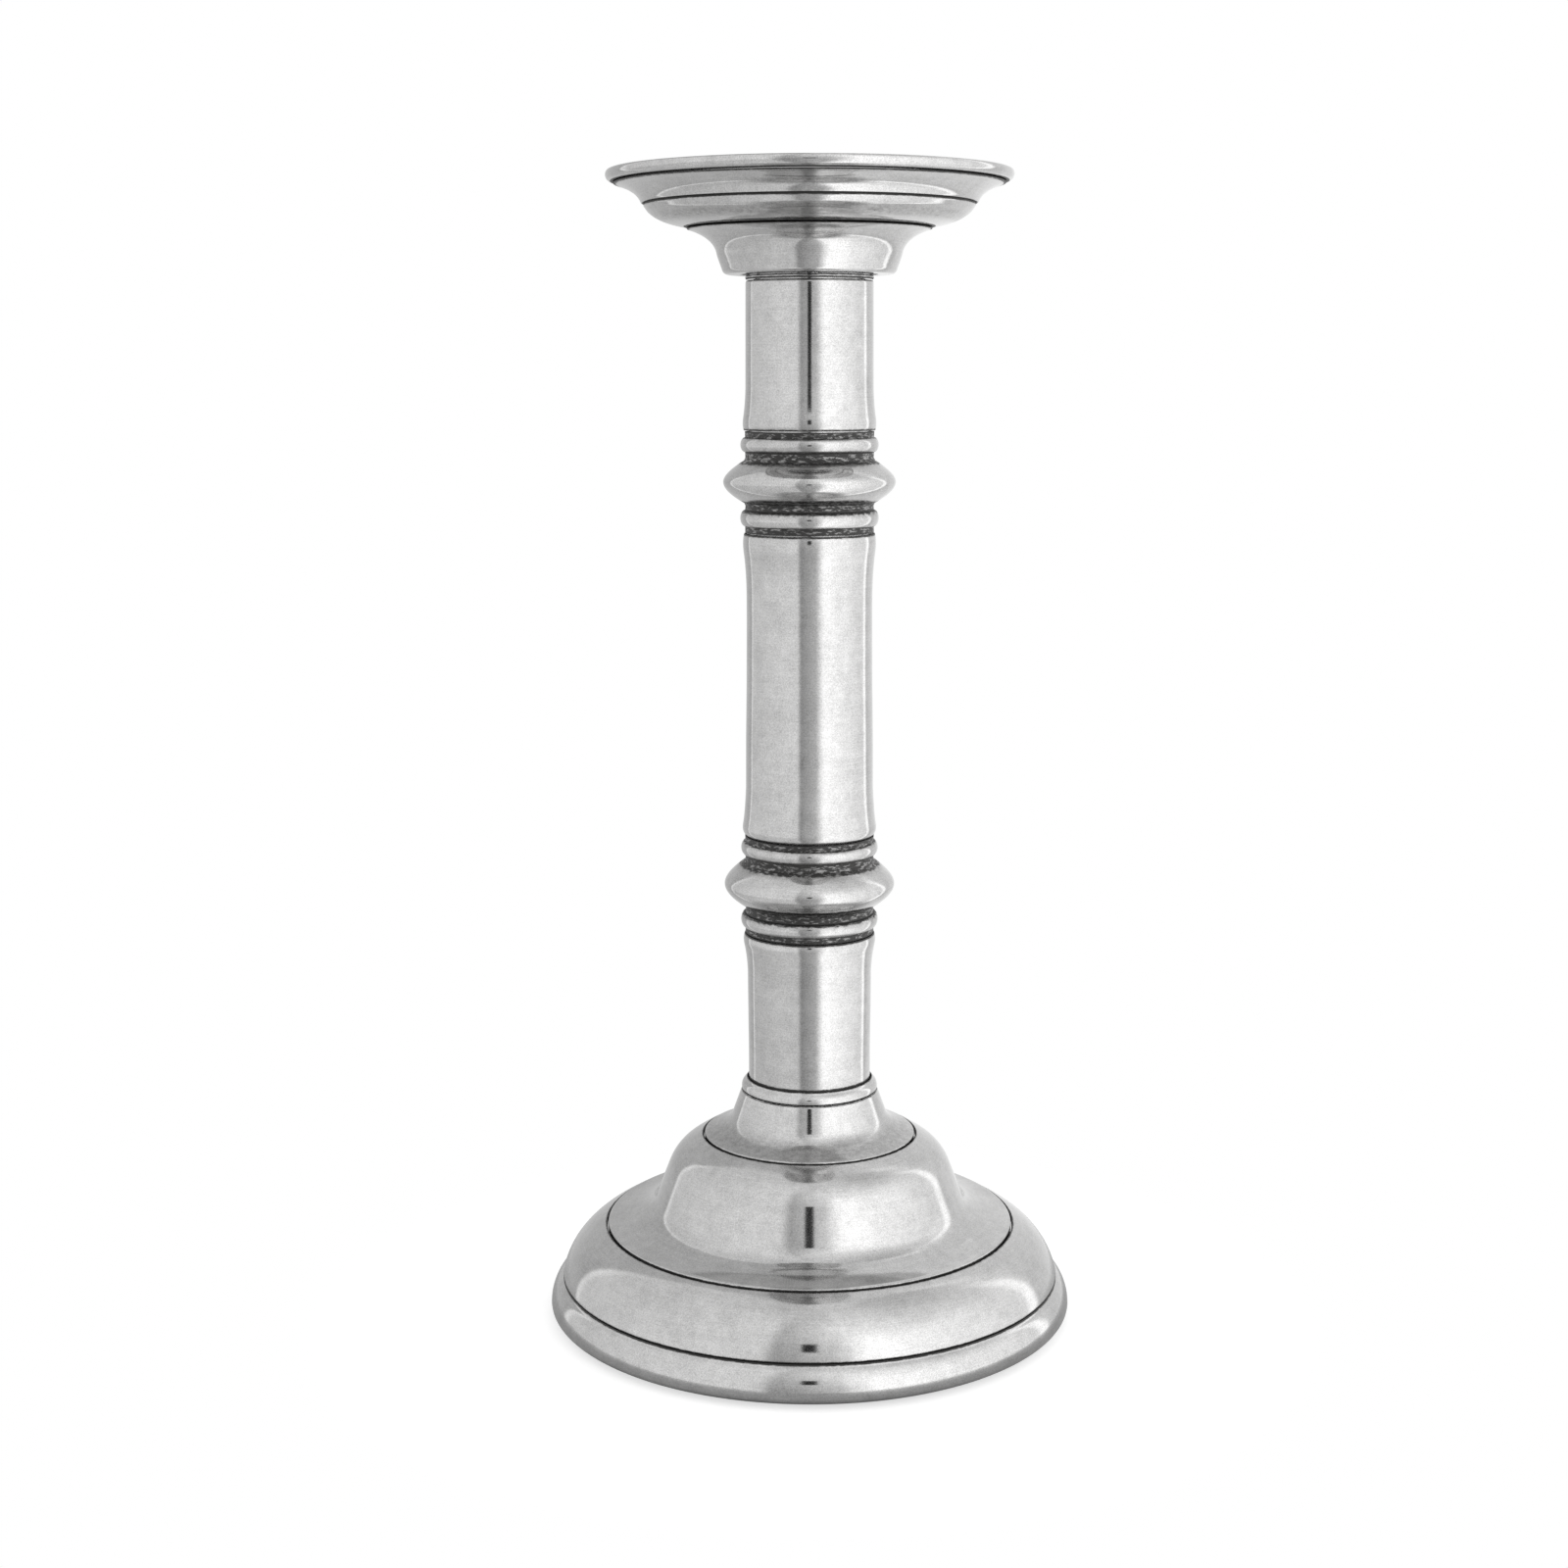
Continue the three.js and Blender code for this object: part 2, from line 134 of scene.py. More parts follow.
def refined(outline, dark):
    """The closed outline with long stretches divided, finely beside its dark lines."""

    def halved(start, end):
        length = math.dist(start, end)
        middle = ((start[0] + end[0]) / 2, (start[1] + end[1]) / 2)
        near = min((math.dist(middle, line[:2]) - length / 2 for line in dark), default=FAR)
        on_axis = max(start[0], end[0]) < ON_AXIS
        if on_axis or length <= min(LONGEST_STEP, FINE_STEP + STEP_GROWTH * max(near, 0)):
            return [start]
        return halved(start, middle) + halved(middle, end)

    points = []
    for start, end in zip(outline, outline[1:] + outline[:1]):
        if math.dist(start, end) > SAME_POINT:
            points += halved(start, end)
    return points


def darkness(point, dark):
    """Tarnish and painted shade at a point, from dark lines of (radius, height, half width, strength)."""
    tarnish_and_shade = 0.0
    for radius, height, half_width, strength in dark:
        distance = math.dist(point, (radius, height)) / half_width
        tarnish_and_shade = max(tarnish_and_shade, strength / (1 + distance ** TARNISH_AND_SHADE_FALLOFF))
    return tarnish_and_shade


def turned(name, node, outline, dark=(), steps=TURN_STEPS, body="stand", wobble=WOBBLE):
    """Turns an outline about the axis as one closed piece that stands for a CAD node."""
    points = refined(outline, dark)
    shape = bmesh.new()
    # The layer holds tarnish, and also the shade painted at the foot's joint gap and round the knops'
    # necks.
    layer = shape.verts.layers.float.new("tarnish_and_shade")
    rings = []
    for radius, height in points:
        tarnish_and_shade = darkness((radius, height), dark)
        if radius < ON_AXIS:
            vert = shape.verts.new((0, 0, height * MM))
            vert[layer] = tarnish_and_shade
            rings.append([vert] * steps)
            continue
        ring = []
        for i in range(steps):
            angle = math.tau * i / steps
            place = Vector((math.cos(angle), math.sin(angle)))
            cell = Vector((place.x * WOBBLE_ROUND, place.y * WOBBLE_ROUND, height * WOBBLE_UP))
            reach = (radius - wobble * (1 + noise.noise(cell))) * MM
            vert = shape.verts.new((place.x * reach, place.y * reach, height * MM))
            vert[layer] = tarnish_and_shade
            ring.append(vert)
        rings.append(ring)
    for lower, upper in zip(rings, rings[1:] + rings[:1]):
        for i in range(steps):
            j = (i + 1) % steps
            corners = []
            for vert in (lower[i], lower[j], upper[j], upper[i]):
                if vert not in corners:
                    corners.append(vert)
            if len(corners) > 2:
                shape.faces.new(corners)
    bmesh.ops.recalc_face_normals(shape, faces=shape.faces)
    mesh = bpy.data.meshes.new(name)
    shape.to_mesh(mesh)
    shape.free()
    mesh.polygons.foreach_set("use_smooth", [True] * len(mesh.polygons))
    mesh.set_sharp_from_angle(angle=SHARP_EDGE)
    piece = bpy.data.objects.new(name, mesh)
    bpy.context.scene.collection.objects.link(piece)
    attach(piece, body)
    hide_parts(node)
    return piece


# ---------------------------------------------------------------- shader building

class Graph:
    """Short calls that add nodes to a shader tree."""

    def __init__(self, tree):
        self.tree = tree
        tree.nodes.clear()

    def add(self, kind, inputs=None, **settings):
        """A new node, with its settings, and a value or a link for each input."""
        made = self.tree.nodes.new(kind)
        for key, value in settings.items():
            setattr(made, key, value)
        for key, value in (inputs or {}).items():
            self.feed(made.inputs[key], value)
        return made

    def feed(self, socket, value):
        if isinstance(value, bpy.types.NodeSocket):
            self.tree.links.new(value, socket)
        else:
            socket.default_value = value

    def math(self, operation, *values):
        """A sum on numbers or sockets."""
        made = self.add("ShaderNodeMath", operation=operation)
        for socket, value in zip(made.inputs, values):
            self.feed(socket, value)
        return made.outputs[0]

    def times(self, first, second):
        """The product of two numbers."""
        return self.math("MULTIPLY", first, second)

    def swing(self, noise_value, amount):
        """How far a noise is above or below its middle, times an amount."""
        return self.times(self.math("SUBTRACT", noise_value, 0.5), amount)

    def span(self, value, low, high, to_low=0.0, to_high=1.0, smooth=True):
        """A value mapped from one range to another, and held at its ends."""
        kind = "SMOOTHSTEP" if smooth else "LINEAR"
        made = self.add("ShaderNodeMapRange", {0: value, 1: low, 2: high, 3: to_low, 4: to_high},
                        interpolation_type=kind)
        return made.outputs[0]

    def blend(self, amount, first, second):
        """A number between two numbers."""
        made = self.add("ShaderNodeMix", data_type="FLOAT", clamp_factor=True)
        for key, value in ((0, amount), (2, first), (3, second)):
            self.feed(made.inputs[key], value)
        return made.outputs[0]

    def tint(self, amount, first, second):
        """A colour between two colours."""
        made = self.add("ShaderNodeMix", data_type="RGBA", clamp_factor=True)
        for key, value in ((0, amount), (6, first), (7, second)):
            self.feed(made.inputs[key], value)
        return made.outputs[2]

    def place(self, stretch=(1, 1, 1)):
        """Points of the piece in its own space, in metres, stretched."""
        coordinates = self.add("ShaderNodeTexCoord").outputs["Object"]
        return self.add("ShaderNodeMapping", {"Vector": coordinates, "Scale": stretch}).outputs[0]

    def grain(self, place, scale, detail=2.0, roughness=0.5):
        """Noise from 0 to 1, with scale cells to the metre."""
        inputs = {"Vector": place, "Scale": scale, "Detail": detail, "Roughness": roughness}
        return self.add("ShaderNodeTexNoise", inputs).outputs[0]

    def bump(self, height, strength, distance):
        """The surface's normal, roughened by a height; the distance is in metres."""
        inputs = {"Height": height, "Strength": strength, "Distance": distance}
        return self.add("ShaderNodeBump", inputs).outputs[0]

    def finish(self, shader, output="ShaderNodeOutputMaterial"):
        """Joins the last shader to the tree's output."""
        self.add(output, {"Surface": shader.outputs[0]})


def material(name):
    """A new material and the graph to draw it with."""
    made = bpy.data.materials.new(name)
    made.use_nodes = True
    return made, Graph(made.node_tree)


def grey(level, warmth=0.0):
    """A grey colour, warm where warmth is over 0."""
    return (level * (1 + warmth), level, level * (1 - warmth), 1)


# ---------------------------------------------------------------- materials

def pewter():
    """Satin antique silver pewter: fine grain, faint turning marks, black oxide in its grooves, which also
    paints the shadow in the gap over the foot band and shade round the knops' necks.
    """
    made, g = material("antique_pewter")
    tarnish_and_shade = g.add("ShaderNodeAttribute", attribute_name="tarnish_and_shade").outputs["Fac"]

    # Black oxide with a ragged edge, scratched bright in the wide necks, and a thin film beside it. Both
    # also paint shade: the shadow in the gap over the foot band, and the shade spreading from the knops'
    # necks onto their beads and large rounds.
    ragged = g.grain(g.place((1, 1, 2)), 700, 4, 0.65)
    oxide_and_shade = g.span(g.math("ADD", tarnish_and_shade, g.swing(ragged, 0.5)), 0.42, 0.62)
    scratches = g.span(g.grain(g.place((1, 1, 3.5)), 520, 4, 0.72), 0.5, 0.6)
    scratched = g.times(scratches, g.span(tarnish_and_shade, 0.8, 1.05, 0.62, 0.0))
    oxide_and_shade = g.times(oxide_and_shade, g.math("SUBTRACT", 1.0, scratched))
    film_and_shade = g.times(g.span(tarnish_and_shade, 0.03, 0.5), g.span(ragged, 0.35, 0.65, 0.15, 0.6, False))

    # The clean metal, from its finest grain to its widest cloud, and the marks of the turning tool.
    place = g.place()
    speckle = g.grain(place, 3000, 2, 0.9)
    patches = g.grain(place, 330, 4, 0.65)
    cloud = g.grain(place, 90, 3, 0.6)
    marks = g.grain(g.place((1, 1, 60)), 60, 2, 0.65)
    level = 0.5
    for pattern, amount in ((speckle, 0.8), (patches, 0.26), (cloud, 0.18), (marks, 0.16)):
        level = g.math("ADD", level, g.swing(pattern, amount))
    darkest, lightest = grey(PEWTER - 0.4, 0.004), grey(PEWTER + 0.4, 0.004)
    clean = g.tint(level, darkest, lightest)

    # The black and the grey are oxide, and also painted shadow and painted shade.
    film_and_shade_grey, oxide_and_shade_black = grey(0.14, 0.02), grey(0.022, 0.03)
    colour = g.tint(oxide_and_shade, g.tint(film_and_shade, clean, film_and_shade_grey), oxide_and_shade_black)
    rough = g.math("ADD", g.span(cloud, 0.3, 0.7, 0.075, 0.105, False), g.times(film_and_shade, 0.25))
    height = g.math("ADD", g.times(speckle, 0.5), g.times(marks, 1.2))
    g.finish(g.add("ShaderNodeBsdfPrincipled", {
        "Base Color": colour, "Roughness": g.blend(oxide_and_shade, rough, 0.5),
        "Metallic": g.span(oxide_and_shade, 0, 1, 1.0, 0.35, False), "IOR": 1.5,
        "Normal": g.bump(g.blend(oxide_and_shade, height, ragged), 0.4, 0.00001),
    }))
    return made


def zinc_steel():
    """Zinc-plated fastener steel, mottled, with turning marks."""
    made, g = material("zinc_steel")
    spangle = g.grain(g.place(), 700, 3, 0.6)
    marks = g.grain(g.place((1, 1, 20)), 200, 2, 0.6)
    g.finish(g.add("ShaderNodeBsdfPrincipled", {
        "Base Color": g.tint(spangle, (0.52, 0.54, 0.58, 1), (0.68, 0.69, 0.7, 1)),
        "Roughness": g.span(spangle, 0.3, 0.7, 0.3, 0.45, False), "Metallic": 1.0,
        "Normal": g.bump(marks, 0.4, 0.00003),
    }))
    return made


def cast_iron():
    """Rough grey casting with a little rust."""
    made, g = material("cast_iron")
    place = g.place()
    skin = g.grain(place, 900, 4, 0.65)
    rust = g.span(g.grain(place, 120, 3, 0.6), 0.56, 0.68)
    g.finish(g.add("ShaderNodeBsdfPrincipled", {
        "Base Color": g.tint(rust, grey(0.09), (0.16, 0.075, 0.04, 1)),
        "Roughness": g.span(skin, 0.3, 0.7, 0.6, 0.85, False),
        "Metallic": g.span(rust, 0, 1, 0.8, 0.1, False), "Normal": g.bump(skin, 0.8, 0.0003),
    }))
    return made


def green_felt():
    """Dark green wool felt: matted fibres."""
    made, g = material("green_felt")
    place = g.place()
    matting = g.grain(place, 1400, 4, 0.7)
    shade = g.math("ADD", matting, g.times(g.grain(place, 90, 3, 0.6), 0.4))
    dark_green, light_green = (0.012, 0.026, 0.016, 1), (0.045, 0.085, 0.055, 1)
    g.finish(g.add("ShaderNodeBsdfPrincipled", {
        "Base Color": g.tint(g.span(shade, 0.45, 0.95), dark_green, light_green),
        "Roughness": g.span(matting, 0.3, 0.7, 0.85, 1.0, False),
        "Sheen Weight": 0.5, "Sheen Roughness": 0.4, "Normal": g.bump(matting, 0.9, 0.0004),
    }))
    return made


# ---------------------------------------------------------------- base

def foot_band():
    """Foot ring: a low rounded band with a ledge inside for the plate."""
    low, high, reach = extent("foot_ring")
    round_radius, crest = 8.8, 3.3
    bore, ledge_bore, rebate = 61.4, 57, 61
    ledge_low, ledge_high = 4.1, 7.4
    outline = [
        (bore, low), *sweep((65.2, low), (reach - 0.1, 1.3), (reach, crest), 10),
        *arc((reach - round_radius, crest), round_radius, 0, 46, 12),
    ]
    outline += sweep(outline[-1], (66.6, 9.9), (66.3, high), 4)
    outline += [(rebate, high), (rebate, ledge_high), (ledge_bore, ledge_high),
                (ledge_bore, ledge_low), (bore, ledge_low)]
    # The dark lines at the joint with the skirt are partly oxide and partly a painted shadow in the gap.
    return turned("foot_band", "foot_ring", outline, joint(62, 66.4, high + 0.1, 0.42, 1.5))


def skirt_shell():
    """Quarter-round shell over the foot, with a tongue inside the foot and a seat for the dome."""
    low, high, reach = extent("base_skirt")
    foot = extent("foot_ring")[1] + 0.2
    edge = extent("base_dome")[2] + 0.4
    tongue, inside = 60.7, 58.3
    seat_bore, seat, underside = 47, high - 0.9, high - 2.9
    outline = [
        (tongue, foot), (reach - 0.35, foot), (reach - 0.05, foot + 0.25),
        *sweep((reach - 0.05, foot + 0.4), (64.3, 19.8), (edge + 0.3, high - 0.05), 22),
        (edge, high - 0.15), (edge - 0.1, seat), (seat_bore, seat), (seat_bore, underside),
        *sweep((52.6, underside), (58, 18.5), (inside, 12), 8), (inside, low), (tongue, low),
    ]
    # The dark lines at the joint with the foot are partly oxide and partly a painted shadow in the gap.
    dark = [(edge, high - 0.3, 0.38, 1.5), *joint(62, reach - 0.1, foot - 0.05, 0.4, 1.5)]
    return turned("skirt_shell", "base_skirt", outline, dark)


def dome_shell():
    """Flange with a small rounded lip, near-upright wall, and a shoulder up to the cone."""
    low, high, reach = extent("base_dome")
    seat = extent("base_skirt")[1] - 0.5
    wall_foot, wall_top, shoulder = (41.1, 31.5), (37.75, 40.1), (34.7, 44.75)
    cone = extent("base_cone")[2]
    plate, plate_under, plate_bore = high - 0.8, high - 2.8, 20
    tongue, inside = 46.7, 44.5
    outline = [
        (tongue, seat), (reach - 0.2, seat), (reach, seat + 0.3), (reach, seat + 0.7),
        *sweep((reach, seat + 0.8), (reach - 0.1, seat + 1.2), (reach - 1.1, seat + 1.25), 6),
        *sweep((reach - 1.1, seat + 1.25), (43.1, 26.4), wall_foot, 18),
        *sweep(wall_top, (36.7, 42.8), shoulder, 12),
        *sweep(shoulder, (33.2, 46.3), (cone + 0.6, high - 0.05), 10),
        (cone + 0.3, high - 0.3), (cone + 0.25, plate), (plate_bore, plate), (plate_bore, plate_under),
        (28.4, plate_under), (31.9, 43.8), *sweep((38.6, 30.2), (39.8, 25.6), (inside, 24.5), 8),
        (inside, low), (tongue, low),
    ]
    dark = [(reach + 0.2, seat + 0.35, 0.42, 1.5), (cone + 0.3, high - 0.2, 0.34, 1.7)]
    return turned("dome_shell", "base_dome", outline, dark)


def cone_flare():
    """Flare that holds the socket for the column, darker towards its foot."""
    low, high, reach = extent("base_cone")
    foot = extent("base_dome")[1] - 0.5
    collar = extent("base_collar")[2]
    waist = (20.35, 54.9)
    tongue, socket, tube_seat, floor = 19.7, 16.7, 53.4, 48.5
    outline = [
        (tongue, foot), (reach - 0.2, foot), (reach, foot + 0.3),
        *sweep((reach, foot + 0.55), (reach, foot + 0.95), (reach - 0.7, foot + 1.15), 5),
        *sweep((reach - 0.7, foot + 1.15), (21.3, 51.6), waist, 16),
        *sweep(waist, (19.3, 57.8), (collar + 0.05, high - 0.4), 10),
        (collar - 0.3, high), (socket, high), (socket, tube_seat), (TUBE_BORE, tube_seat),
        (TUBE_BORE, floor), (ROD_HOLE, floor), (ROD_HOLE, low), (tongue, low),
    ]
    dark = [(reach + 0.1, foot + 0.25, 0.36, 1.7), (25.3, foot + 2.6, 4.2, 0.35), (collar, high, 0.24, 1.4)]
    return turned("cone_flare", "base_cone", outline, dark)


def collar_bead():
    """Small rounded ring where the column enters the cone."""
    low, high, reach = extent("base_collar")
    bore, top = 16.55, (17.1, 63.8)
    outline = [
        (bore, low), (reach - 0.35, low),
        *sweep((reach - 0.1, low + 0.15), (reach + 0.05, 62.9), top, 8),
        *sweep(top, (16.85, 64.1), (bore + 0.12, high), 4), (bore, high),
    ]
    dark = [(reach, low - 0.1, 0.24, 1.3), (16.5, high + 0.1, 0.35, 1.2)]
    return turned("collar_bead", "base_collar", outline, dark)


# ---------------------------------------------------------------- column

def lower_tube():
    """Plain length of the column, with a lip at its top."""
    low, high, _ = extent("lower_tube")
    lip = (17.25, 100.6)
    outline = [
        (16.2, low), (16.2, 72), (16.37, 88), *sweep((16.4, 93.5), (16.55, 97.2), lip, 8),
        *sweep(lip, (17.75, 102.6), (17.05, high), 8), (TUBE_BORE, high), (TUBE_BORE, low),
    ]
    dark = [(16.3, 64.6, 0.4, 1.1), (16.95, high + 0.1, 0.5, 1.2)]
    return turned("tube_lower", "lower_tube", outline, dark)


def middle_tube():
    """Longest plain length of the column, with a lip at each end."""
    low, high, _ = extent("middle_tube")
    low_lip, high_lip = (17.45, 133.3), (16.85, 203)
    outline = [
        *sweep((16.95, low), (17.85, 131.4), low_lip, 8), *sweep(low_lip, (16.95, 136.4), (16.68, 143), 8),
        (16.62, 156), (16.4, 170), (16.3, 186), *sweep((16.3, 193), (16.35, 198.5), high_lip, 8),
        *sweep(high_lip, (17.5, 207.2), (16.85, high), 8), (TUBE_BORE, high), (TUBE_BORE, low),
    ]
    dark = [(16.95, low - 0.1, 0.5, 1.2), (16.8, high + 0.1, 0.5, 1.2)]
    return turned("tube_middle", "middle_tube", outline, dark)


def upper_tube():
    """Plain length with a lip at its foot, and a thicker wall inside whose top is a ledge for the plug."""
    low, high, _ = extent("upper_tube")
    lip = (16.95, 239)
    ledge_bore, ledge, knop_room = 11, 242.3, low + 5.1
    outline = [
        *sweep((16.85, low), (17.35, 236.6), lip, 8), *sweep(lip, (16.5, 242.3), (16.4, 246), 8),
        (16.37, 252), (16.27, high - 0.5), (16.1, high - 0.1), (15.8, high),
        (TUBE_BORE + 0.2, high), (TUBE_BORE, high - 0.2), (TUBE_BORE, ledge), (ledge_bore, ledge),
        (ledge_bore, knop_room), (TUBE_BORE, knop_room), (TUBE_BORE, low),
    ]
    dark = [(16.8, low - 0.1, 0.5, 1.2), (16.3, high + 0.1, 0.35, 1.3)]
    return turned("tube_upper", "upper_tube", outline, dark)


def knop(name, node, low, high, neck, crest, foot, crest_height, top, bead_crest, first, last):
    """Bead, neck, large round, neck and bead, with a spigot into the tube at each end.

    first and last are the heights between which each bead lies; foot, crest_height and top are the
    large round's, and crest is its largest radius.
    """
    node_low, node_high, _ = extent(node)
    spigot, bore = 13.6, 10.5
    swell_pull = (crest, foot + (crest_height - foot) * 0.55)
    fall_pull = (crest, crest_height + (top - crest_height) * 0.4)
    outline = [
        (spigot, low), (neck, low), *bead(neck, bead_crest, *first), (neck - 0.1, foot - 0.7),
        *sweep((neck + 0.2, foot), swell_pull, (crest, crest_height), 12),
        *sweep((crest, crest_height), fall_pull, (neck + 0.3, top), 12),
        (neck - 0.1, top + 0.7), *bead(neck - 0.05, bead_crest - 0.1, *last),
        (neck, high), (spigot, high), (spigot, node_high), (bore, node_high), (bore, node_low),
        (spigot, node_low),
    ]
    # The wide lines are black oxide in the necks. Where they spread onto the beads and the large round,
    # they are painted shade.
    beside_tubes = [
        (neck, low + 0.6, 1.5, 0.78), (neck, high - 0.6, 1.5, 0.78),
        (neck, low, 0.4, 1.3), (neck, high, 0.4, 1.3),
    ]
    beside_round = [
        (neck, first[1] - 0.1, 0.45, 1.5), (neck, last[0] + 0.1, 0.4, 1.4),
        (neck, (first[1] + foot) / 2 + 0.2, 2.3, 0.78), (neck, (top + last[0]) / 2 - 0.6, 2.5, 0.74),
    ]
    return turned(name, node, outline, beside_tubes + beside_round)


def lower_knop():
    """The knop between the lower and middle tubes."""
    return knop("knop_lower", "lower_knop", low=104.2, high=130.1, neck=16.95, crest=22.4,
                foot=111.4, crest_height=117.1, top=123.1, bead_crest=18.1,
                first=(105.7, 109.4), last=(125.1, 128.5))


def upper_knop():
    """The knop between the middle and upper tubes."""
    return knop("knop_upper", "upper_knop", low=209.4, high=235.1, neck=16.6, crest=22.2,
                foot=216.9, crest_height=222.3, top=227.7, bead_crest=17.85,
                first=(211, 215.1), last=(229.9, 233.6))


# ---------------------------------------------------------------- pan

def seat_band():
    """Thin uneven band between the column and the pan."""
    low, high, reach = extent("seat_ring")
    bore = 14.2
    outline = [
        (bore, low), (reach - 0.15, low), (reach, low + 0.2), (reach, high - 0.2), (reach - 0.2, high),
        (bore, high),
    ]
    dark = [(reach, low, 0.3, 1.7), (reach, high, 0.25, 1.2), (reach, (low + high) / 2, 0.8, 0.36)]
    return turned("seat_band", "seat_ring", outline, dark, body="pan")


def spigot_plug():
    """Hollow plug under the pan that drops into the upper tube."""
    low, high, reach = extent("pan_spigot")
    bore, web = 11, high - 1.9
    outline = [
        (ROD_HOLE, web), (bore, web), (bore, low + 0.3), (bore + 0.3, low), (reach - 0.7, low),
        (reach, low + 0.7), (reach, high), (ROD_HOLE, high),
    ]
    return turned("spigot_plug", "pan_spigot", outline, [(reach, high, 0.6, 1)], body="pan")


def cup_bell():
    """Bell-shaped neck under the pan."""
    low, high, reach = extent("pan_cup")
    foot_round, waist, inner_lip = (22.3, low + 1.5), (23.5, 279.3), (27.5, high)
    floor = low + 2.2
    outline = [
        (ROD_HOLE, low), *sweep((20.6, low), (22, low), foot_round, 8),
        *sweep(foot_round, (22.9, 277.4), waist, 6),
        *sweep(waist, (24.1, 283.5), (reach - 0.1, high - 0.15), 16), (reach - 0.3, high),
        inner_lip, *sweep(inner_lip, (23, 284.2), (21.8, 280.8), 8), (20.3, floor), (ROD_HOLE, floor),
    ]
    dark = [*joint(28, reach - 0.1, high + 0.05), (16.4, low, 1.2, 0.7)]
    return turned("cup_bell", "pan_cup", outline, dark, body="pan")


def dish():
    """Drip pan: flat floor, rising side with a scribed groove."""
    low, high, reach = extent("drip_pan")
    flange_seat, floor, floor_radius = 8.4, 288, 36
    foot_radius = extent("pan_cup")[2] + 0.6
    groove_radius, groove_height = 42.15, 291.6
    inner_edge, inner_side = (46, high), (40.2, 291.6)
    outline = [
        (ROD_HOLE, low), (foot_radius - 0.2, low), (foot_radius, low + 0.1),
        *sweep((foot_radius + 0.2, low + 0.2), (38.2, 287.2), (40.9, 289.9), 14),
        *scribed((groove_radius, groove_height), -38, 0.33, 0.5),
        *sweep((42.6, 292.2), (43.8, 295.2), (reach - 0.2, high - 0.2), 12),
        (reach - 0.05, high - 0.08), (reach - 0.2, high), inner_edge,
        *sweep(inner_edge, (41.5, 294.6), inner_side, 8),
        *sweep(inner_side, (38.6, floor + 0.1), (floor_radius, floor), 8),
        (flange_seat, floor), (flange_seat, floor - 0.5), (ROD_HOLE, floor - 0.5),
    ]
    dark = [
        *joint(28, foot_radius - 0.2, low - 0.05), *joint(46.5, reach, high),
        (groove_radius - 0.3, groove_height + 0.2, 0.35, 1.8),
        (flange_seat, floor, 0.6, 1.2), (floor_radius + 2, floor + 0.5, 2.5, 0.4),
    ]
    return turned("dish", "drip_pan", outline, dark, body="pan")


def rim_roll():
    """Rounded band applied to the pan's edge."""
    low, high, reach = extent("pan_rim")
    foot, crest = (reach - 1.4, low + 0.05), (reach, high - 1.2)
    outline = [
        (46.3, low), (reach - 1.5, low), *sweep(foot, (reach - 0.15, low + 0.25), crest, 12),
        *sweep(crest, (reach - 0.05, high), (reach - 1.0, high), 10),
        *sweep((reach - 1.9, high), (49, high), (48.1, high - 0.7), 5), (47.2, high - 1.6),
    ]
    return turned("rim_roll", "pan_rim", outline, joint(46.5, reach - 1.55, low - 0.03), body="pan")


def pricket_spike():
    """Candle spike and bolt in one, with a flange that clamps the pan."""
    low, high, reach = extent("pricket")
    rod, flange, spike = 3, 287.8, 2.6
    outline = [
        (0, low), (rod - 0.5, low), (rod, low + 0.5), (rod, flange), (reach - 0.15, flange),
        (reach, flange + 0.2), (reach - 0.1, flange + 0.6), (reach - 0.5, flange + 0.8),
        *sweep((5, flange + 1.1), (2.9, flange + 1.3), (spike, flange + 3), 6),
        (0.35, high - 0.3), (0, high),
    ]
    dark = [(reach, flange, 0.5, 1.2), (5, flange + 1, 0.9, 0.8)]
    return turned("pricket_spike", "pricket", outline, dark, steps=SMALL_TURN_STEPS, body="pan", wobble=0)


def felt_disc():
    """Felt under the base, cut by hand, its edge a little soft and its faces matted."""
    low, high, reach = extent("felt_pad")
    soft, fray, sag = 0.5, 0.12, 0.1
    clumps, fibres = 260, 900          # unevenness, in cells to the metre
    outline = [
        (0, low), (reach - soft, low), *sweep((reach - soft, low), (reach, low), (reach, low + soft), 4),
        *sweep((reach, high - soft), (reach, high), (reach - soft, high), 4), (0, high),
    ]
    disc = turned("felt_disc", "felt_pad", outline, wobble=0)
    for vert in disc.data.vertices:
        lump = noise.noise(vert.co * clumps) + 0.5 * noise.noise(vert.co * fibres)
        radial = Vector((vert.co.x, vert.co.y, 0))
        if radial.length > (reach - 1) * MM:
            vert.co -= radial.normalized() * fray * (1 + lump) * MM
        elif vert.co.z > (low + high) / 2 * MM:
            vert.co.z -= sag * (1 + lump) * MM
    return disc


# ---------------------------------------------------------------- studio

# Lengths here are in metres and angles in degrees.
CAMERA_PLACE = Vector((0, -0.625, 0.2503))
LOOK_DOWN, LOOK_LEFT, ROLL = 9.7, 0.613, -0.095
FOCAL_LENGTH, SENSOR_WIDTH = 55.46, 36     # in millimetres
NEAREST_SEEN = 0.01
DARK_CARD_PLACE = Vector((0, -0.64, 0.2975))
DARK_CARD_AIM = Vector((0, 0, 0.15))
DARK_CARD_SIZE = (0.075, 0.145)
FLOOR_RADIUS = 0.14
SOLID_FLOOR_RADIUS = 0.072                 # inside this, the floor hasn't begun to fade
FLOOR_DROP = 0.0002                        # clearance under the foot
FLOOR_LIFT = 0.62                          # extra brightness that only the camera sees


def seen(tone):
    """How bright a light is that clean pewter shows as a grey from 0 to 255, by the sRGB curve."""
    return ((tone / 255 + 0.055) / 1.055) ** 2.4 / PEWTER


